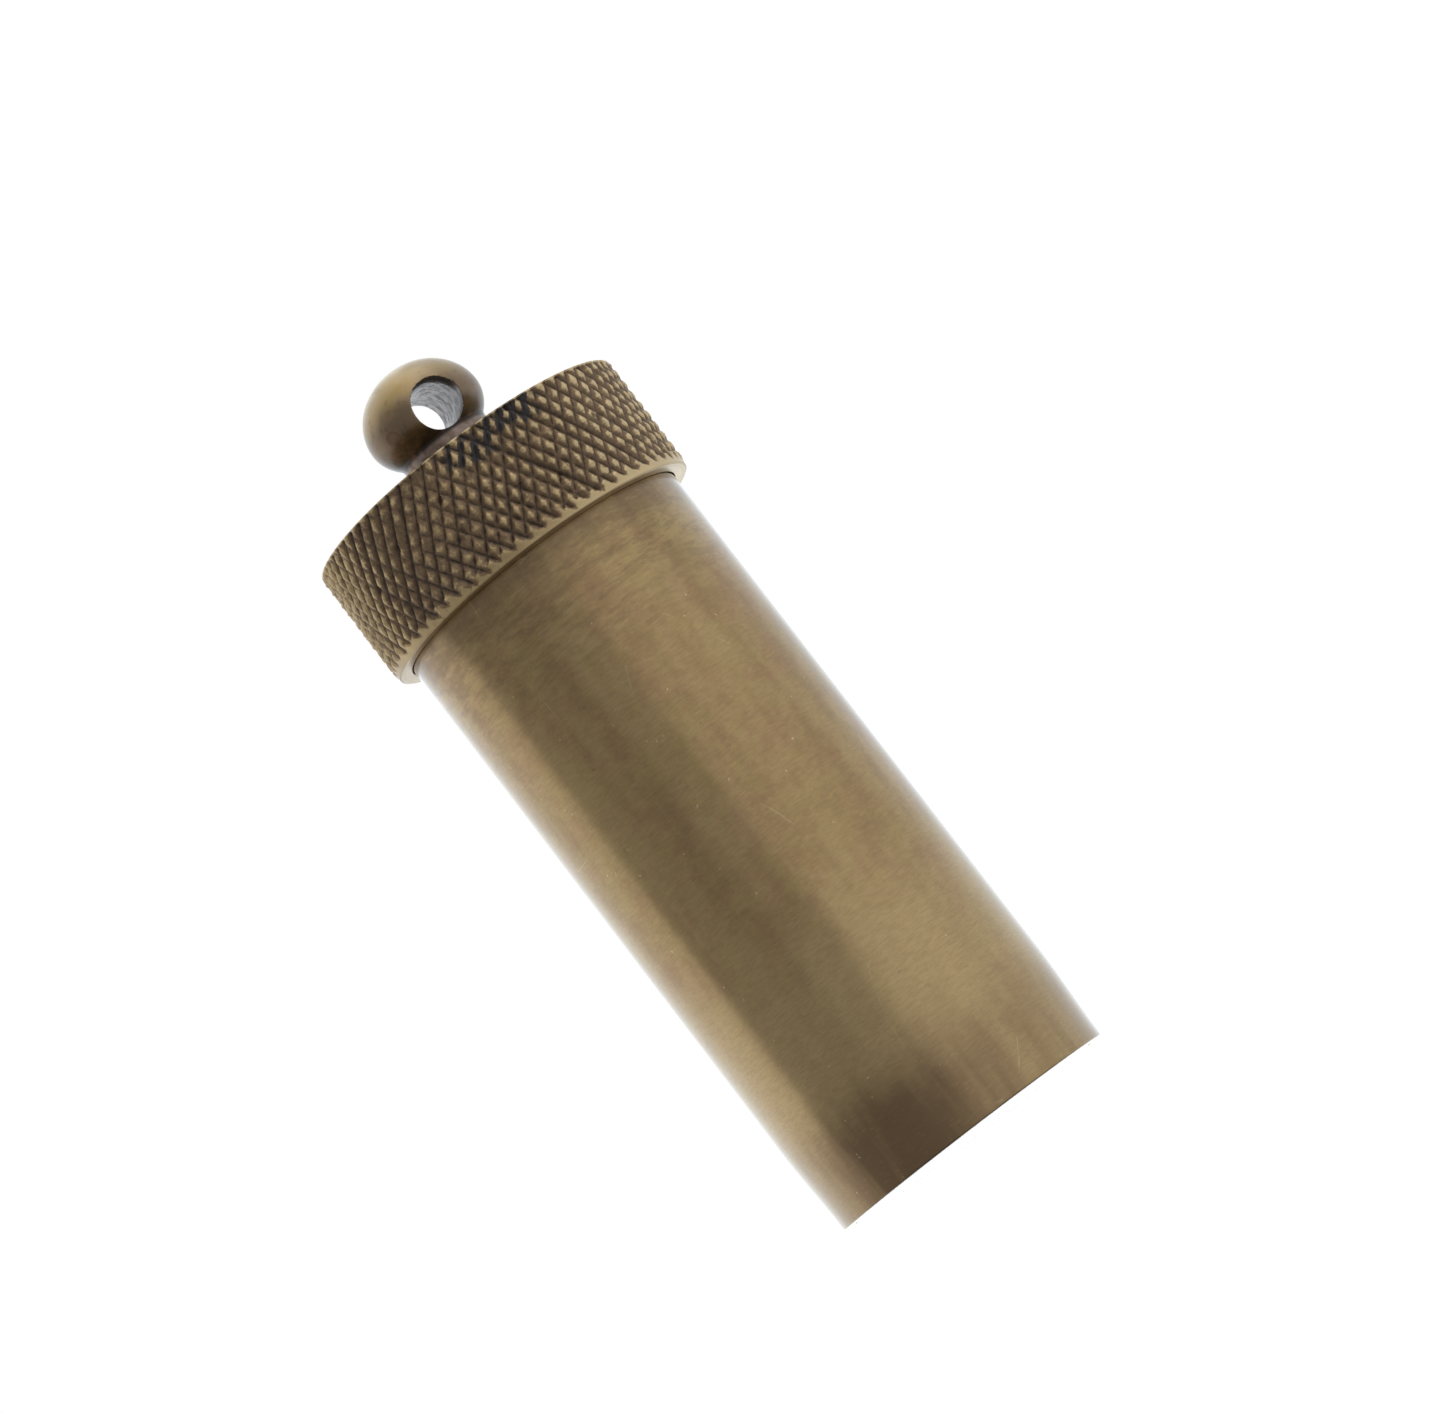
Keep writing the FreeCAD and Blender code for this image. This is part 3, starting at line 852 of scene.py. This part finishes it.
def hole_material():
    """The hole's wall: bare grey metal streaked by the drill, darker, rougher and less metallic at the
    upper part of its front mouth.
    """
    shader = Shader("bare_hole", Specular_IOR_Level=0.2)
    scratch = shader.noise(2.2, 1.2, 4, 0.75, 4.0)
    place = shader.node("SeparateXYZ", {0: shader.place}).outputs
    colour = shader.mix(shader.fade(scratch, 0.36, 0.6), BARE_DARK, BARE_LIGHT)
    ragged = shader.math("ADD", place["Y"], shader.fade(scratch, 0.3, 0.7, -0.25 * MM, 0.25 * MM))
    # Darker, rougher and less metallic at the upper part of the front mouth.
    upper = shader.fade(place["Z"], (EYE_AT.z - 0.5) * MM, (EYE_AT.z + 0.7) * MM, 0.1, 1.0)
    dark_mouth = shader.math("MULTIPLY", shader.fade(ragged, -2.0 * MM, -3.1 * MM), upper)
    colour = shader.mix(dark_mouth, colour, MOUTH_DARK)
    shader.feed(shader.surface.inputs["Metallic"], shader.fade(dark_mouth, 0.0, 1.0, 0.6, 0.1))
    shader.paint(colour, shader.fade(dark_mouth, 0.0, 1.0, 0.4, 0.8))
    shader.bump(scratch, 0.006)
    return shader.material


def rubber_material():
    """Matt black rubber with a little dust on it."""
    shader = Shader("seal_rubber_black", Metallic=0.0, Specular_IOR_Level=0.35)
    grain = shader.noise(4.0, 4.0, 4, 0.6)
    dust = shader.noise(0.5, 0.5, 4, 0.6, 3.0)
    colour = shader.mix(shader.fade(dust, 0.45, 0.8, 0.0, 0.5), RUBBER_BLACK, RUBBER_DUST)
    shader.paint(colour, shader.fade(grain, 0.3, 0.7, 0.5, 0.68))
    shader.bump(grain, 0.01)
    return shader.material


def cork_material():
    """Pressed cork grains of differing brown with dark specks between."""
    shader = Shader("cork_pressed", Metallic=0.0, Specular_IOR_Level=0.25)
    grains = shader.node("TexVoronoi", {"Vector": shader.place, "Scale": 0.9 / MM})
    tone = shader.node("SeparateColor", {0: grains.outputs["Color"]}).outputs[0]
    edge = shader.node("TexVoronoi", {"Vector": shader.place, "Scale": 0.9 / MM},
                       feature="DISTANCE_TO_EDGE").outputs["Distance"]
    fine = shader.noise(3.0, 3.0, 5, 0.7)
    colour = shader.mix(tone, CORK_BROWN, CORK_PALE)
    colour = shader.mix(shader.fade(fine, 0.3, 0.7, 0.35, 0.0), colour, CORK_FLECK)
    colour = shader.mix(shader.fade(edge, 0.08, 0.0, 0.0, 0.7), colour, CORK_GAP)
    shader.paint(colour, shader.fade(fine, 0.3, 0.7, 0.8, 0.95))
    shader.bump(shader.math("ADD", fine, shader.fade(edge, 0.0, 0.12)), 0.06)
    return shader.material


# --- Pieces ---------------------------------------------------------------------------------

aged_tube = case_material()
machined = machined_material()

tube = show("case_tube_turned", tube_mesh(), "case", "case_brass", "case_tube", aged_tube, machined)
second_inside(tube.data, TUBE_BORE_R + SKIN, TUBE_TOP)
pad = show("cork_disc", pad_mesh(), "case", "cork", "cork_pad", cork_material())
show("seal_rubber", seal_mesh(), "seal", "seal_rubber", "seal_ring", rubber_material())
cap = show("screw_cap_knurled", cap_mesh(), "cap", "cap_brass", "screw_cap", cap_material(), machined)
second_inside(cap.data, MOUTH_R + SKIN, CAP_TOP - 5 * SKIN)
ball = show("lanyard_ball", ball_mesh(), "cap", "ball_brass", "ball_finial", ball_material(),
            hole_material())
second_in_hole(ball.data)
show("finial_stem", stem_mesh(), "cap", "ball_brass", "ball_finial", machined)

for node, material in (("base_disc", aged_tube), ("neck_ring", machined),
                       ("finial_washer", machined), ("finial_nut", machined)):
    data = frame["nodes"][node].data
    data.materials.clear()
    data.materials.append(material)

# --- Stage, light and camera ----------------------------------------------------------------

# The camera stands CAMERA_BACK from CAMERA_AIM, in millimetres, rolled so that the case lies aslant,
# and moved sideways and up in its own picture plane.
CAMERA_AZIMUTH = radians(-17.2)
CAMERA_ELEVATION = radians(-7.248)
CAMERA_ROLL = radians(-37.549)
CAMERA_AIM = Vector((0, 0, 33.0)) * MM
CAMERA_BACK = 342.13
CAMERA_RIGHT = 3.017
CAMERA_UP = 2.882
LENS = 124.57
SENSOR = 36.0


def outward(azimuth, elevation):
    """The direction out from the case, by angles from the front and from level."""
    return Vector((sin(azimuth) * cos(elevation), -cos(azimuth) * cos(elevation), sin(elevation)))


def camera_axes():
    """The camera's right, up and backward directions."""
    back = outward(CAMERA_AZIMUTH, CAMERA_ELEVATION)
    level = Vector((cos(CAMERA_AZIMUTH), sin(CAMERA_AZIMUTH), 0))
    upright = back.cross(level)
    right = level * cos(CAMERA_ROLL) + upright * sin(CAMERA_ROLL)
    return right, back.cross(right), back


def add_camera():
    """The scene's camera, with nothing out of focus."""
    right, up, back = camera_axes()
    data = bpy.data.cameras.new("camera")
    data.sensor_width = SENSOR
    data.lens = LENS
    data.clip_start = 0.01
    data.clip_end = 20.0
    camera = bpy.data.objects.new("camera", data)
    place = CAMERA_AIM + (back * CAMERA_BACK + right * CAMERA_RIGHT + up * CAMERA_UP) * MM
    turn = Matrix((right, up, back)).transposed().to_4x4()
    camera.matrix_world = Matrix.Translation(place) @ turn
    bpy.context.scene.collection.objects.link(camera)
    bpy.context.scene.camera = camera


# The light tent's brightness round the case: degrees from the viewer's side, positive to the right.
TENT = [(-180, 1.0), (-154, 0.73), (-122, 0.60), (-98, 0.53), (-92, 0.49), (-88, 0.42), (-85, 0.31),
        (-80, 0.265), (-46, 0.23), (-24, 0.25), (-10, 0.29), (5, 0.30), (11, 0.38), (20, 0.45),
        (33, 0.475), (63, 0.51), (90, 0.475), (112, 0.495), (136, 0.55), (155, 0.60), (170, 0.70),
        (180, 1.0)]
TENT_STRENGTH = 1.6

# The share of its strength that the tent keeps below the case, the heights of a direction between
# which it loses the rest, how much bluer it is behind the case, and the degrees between which it
# turns so.
TENT_BELOW = 0.4
TENT_FADE = (-0.8, -0.35)
TENT_COOL = 0.06
COOL_FROM = 110
COOL_FULL = 160


def add_tent():
    """A white light tent: paper white to the eye, shaded towards the viewer in reflections."""
    world = bpy.data.worlds.new("light_tent")
    bpy.context.scene.world = world
    world.use_nodes = True
    sky = Nodes(world.node_tree)
    direction = sky.node("TexCoord").outputs["Generated"]
    turned = sky.node("VectorRotate", {"Vector": direction, "Angle": pi / 2 - CAMERA_AZIMUTH},
                      rotation_type="Z_AXIS")
    split = sky.node("SeparateXYZ", {0: turned.outputs[0]}).outputs
    azimuth = sky.math("ARCTAN2", split["Y"], split["X"])
    ramp = sky.node("ValToRGB", {0: sky.fade(azimuth, -pi, pi, step="LINEAR")})
    stops = ramp.color_ramp.elements
    while len(stops) < len(TENT):
        stops.new(0.5)
    for stop, (degrees, bright) in zip(stops, TENT):
        cool = TENT_COOL * smooth(COOL_FROM, COOL_FULL, abs(degrees))
        stop.position = 0.5 + degrees / 360
        stop.color = (bright * (1 - cool), bright, bright * (1 + cool), 1)
    strength = sky.fade(split["Z"], *TENT_FADE, TENT_BELOW * TENT_STRENGTH, TENT_STRENGTH, step="LINEAR")
    shaded = sky.tree.nodes["Background"]
    sky.feed(shaded.inputs["Color"], ramp.outputs["Color"])
    sky.feed(shaded.inputs["Strength"], strength)
    paper = sky.node("Background", {"Color": (1, 1, 1, 1)})
    seen = sky.node("LightPath").outputs["Is Camera Ray"]
    mix = sky.node("MixShader", {0: seen, 1: shaded.outputs[0], 2: paper.outputs[0]})
    sky.feed(sky.tree.nodes["World Output"].inputs["Surface"], mix.outputs[0])


# The floor and the light over it, in metres and watts.
FLOOR_RADIUS = 0.9
FLOOR_CLEAR = 0.25
FLOOR_DROP = 0.0002
SOFTBOX_AZIMUTH = radians(20)
SOFTBOX_ELEVATION = radians(70)
SOFTBOX_AWAY = 0.7
SOFTBOX_SIZE = 0.9
SOFTBOX_POWER = 1.0


def add_floor():
    """A pale round floor just under the base, seen only from above, that fades out towards its rim."""
    shell = Shell()
    shell.cap(shell.ring(FLOOR_RADIUS / MM, 0, 96), 0)
    floor = bpy.data.objects.new("floor", shell.mesh("floor"))
    floor.location.z = -FLOOR_DROP
    bpy.context.scene.collection.objects.link(floor)
    if floor.data.polygons[0].normal.z < 0:
        floor.data.flip_normals()
    shader = Shader("pale_floor", Roughness=0.9, Specular_IOR_Level=0.1)
    colour = shader.mix(shader.noise(0.02, 0.02, 3, 0.5), FLOOR_GREY, FLOOR_PALE)
    shader.feed(shader.surface.inputs["Base Color"], colour)
    gone = shader.fade(shader.from_axis(), FLOOR_CLEAR, FLOOR_RADIUS * 0.95)
    from_below = shader.node("NewGeometry").outputs["Backfacing"]
    hidden = shader.math("MAXIMUM", gone, from_below)
    clear = shader.node("BsdfTransparent")
    mix = shader.node("MixShader", {0: hidden, 1: shader.surface.outputs[0], 2: clear.outputs[0]})
    shader.feed(shader.tree.nodes["Material Output"].inputs["Surface"], mix.outputs[0])
    floor.data.materials.append(shader.material)
    floor.visible_glossy = False
    floor.visible_diffuse = False
    floor.visible_shadow = False


def add_softbox():
    """A square area light high over the front, facing the middle of the case."""
    data = bpy.data.lights.new("softbox_top", "AREA")
    data.shape = "SQUARE"
    data.size = SOFTBOX_SIZE
    data.energy = SOFTBOX_POWER
    back = outward(SOFTBOX_AZIMUTH, SOFTBOX_ELEVATION)
    light = bpy.data.objects.new("softbox_top", data)
    light.location = CAMERA_AIM + back * SOFTBOX_AWAY
    light.rotation_mode = "QUATERNION"
    light.rotation_quaternion = back.to_track_quat("Z", "Y")
    light.visible_camera = False
    bpy.context.scene.collection.objects.link(light)


add_camera()
add_tent()
add_floor()
add_softbox()
bpy.context.scene.view_settings.view_transform = "Standard"
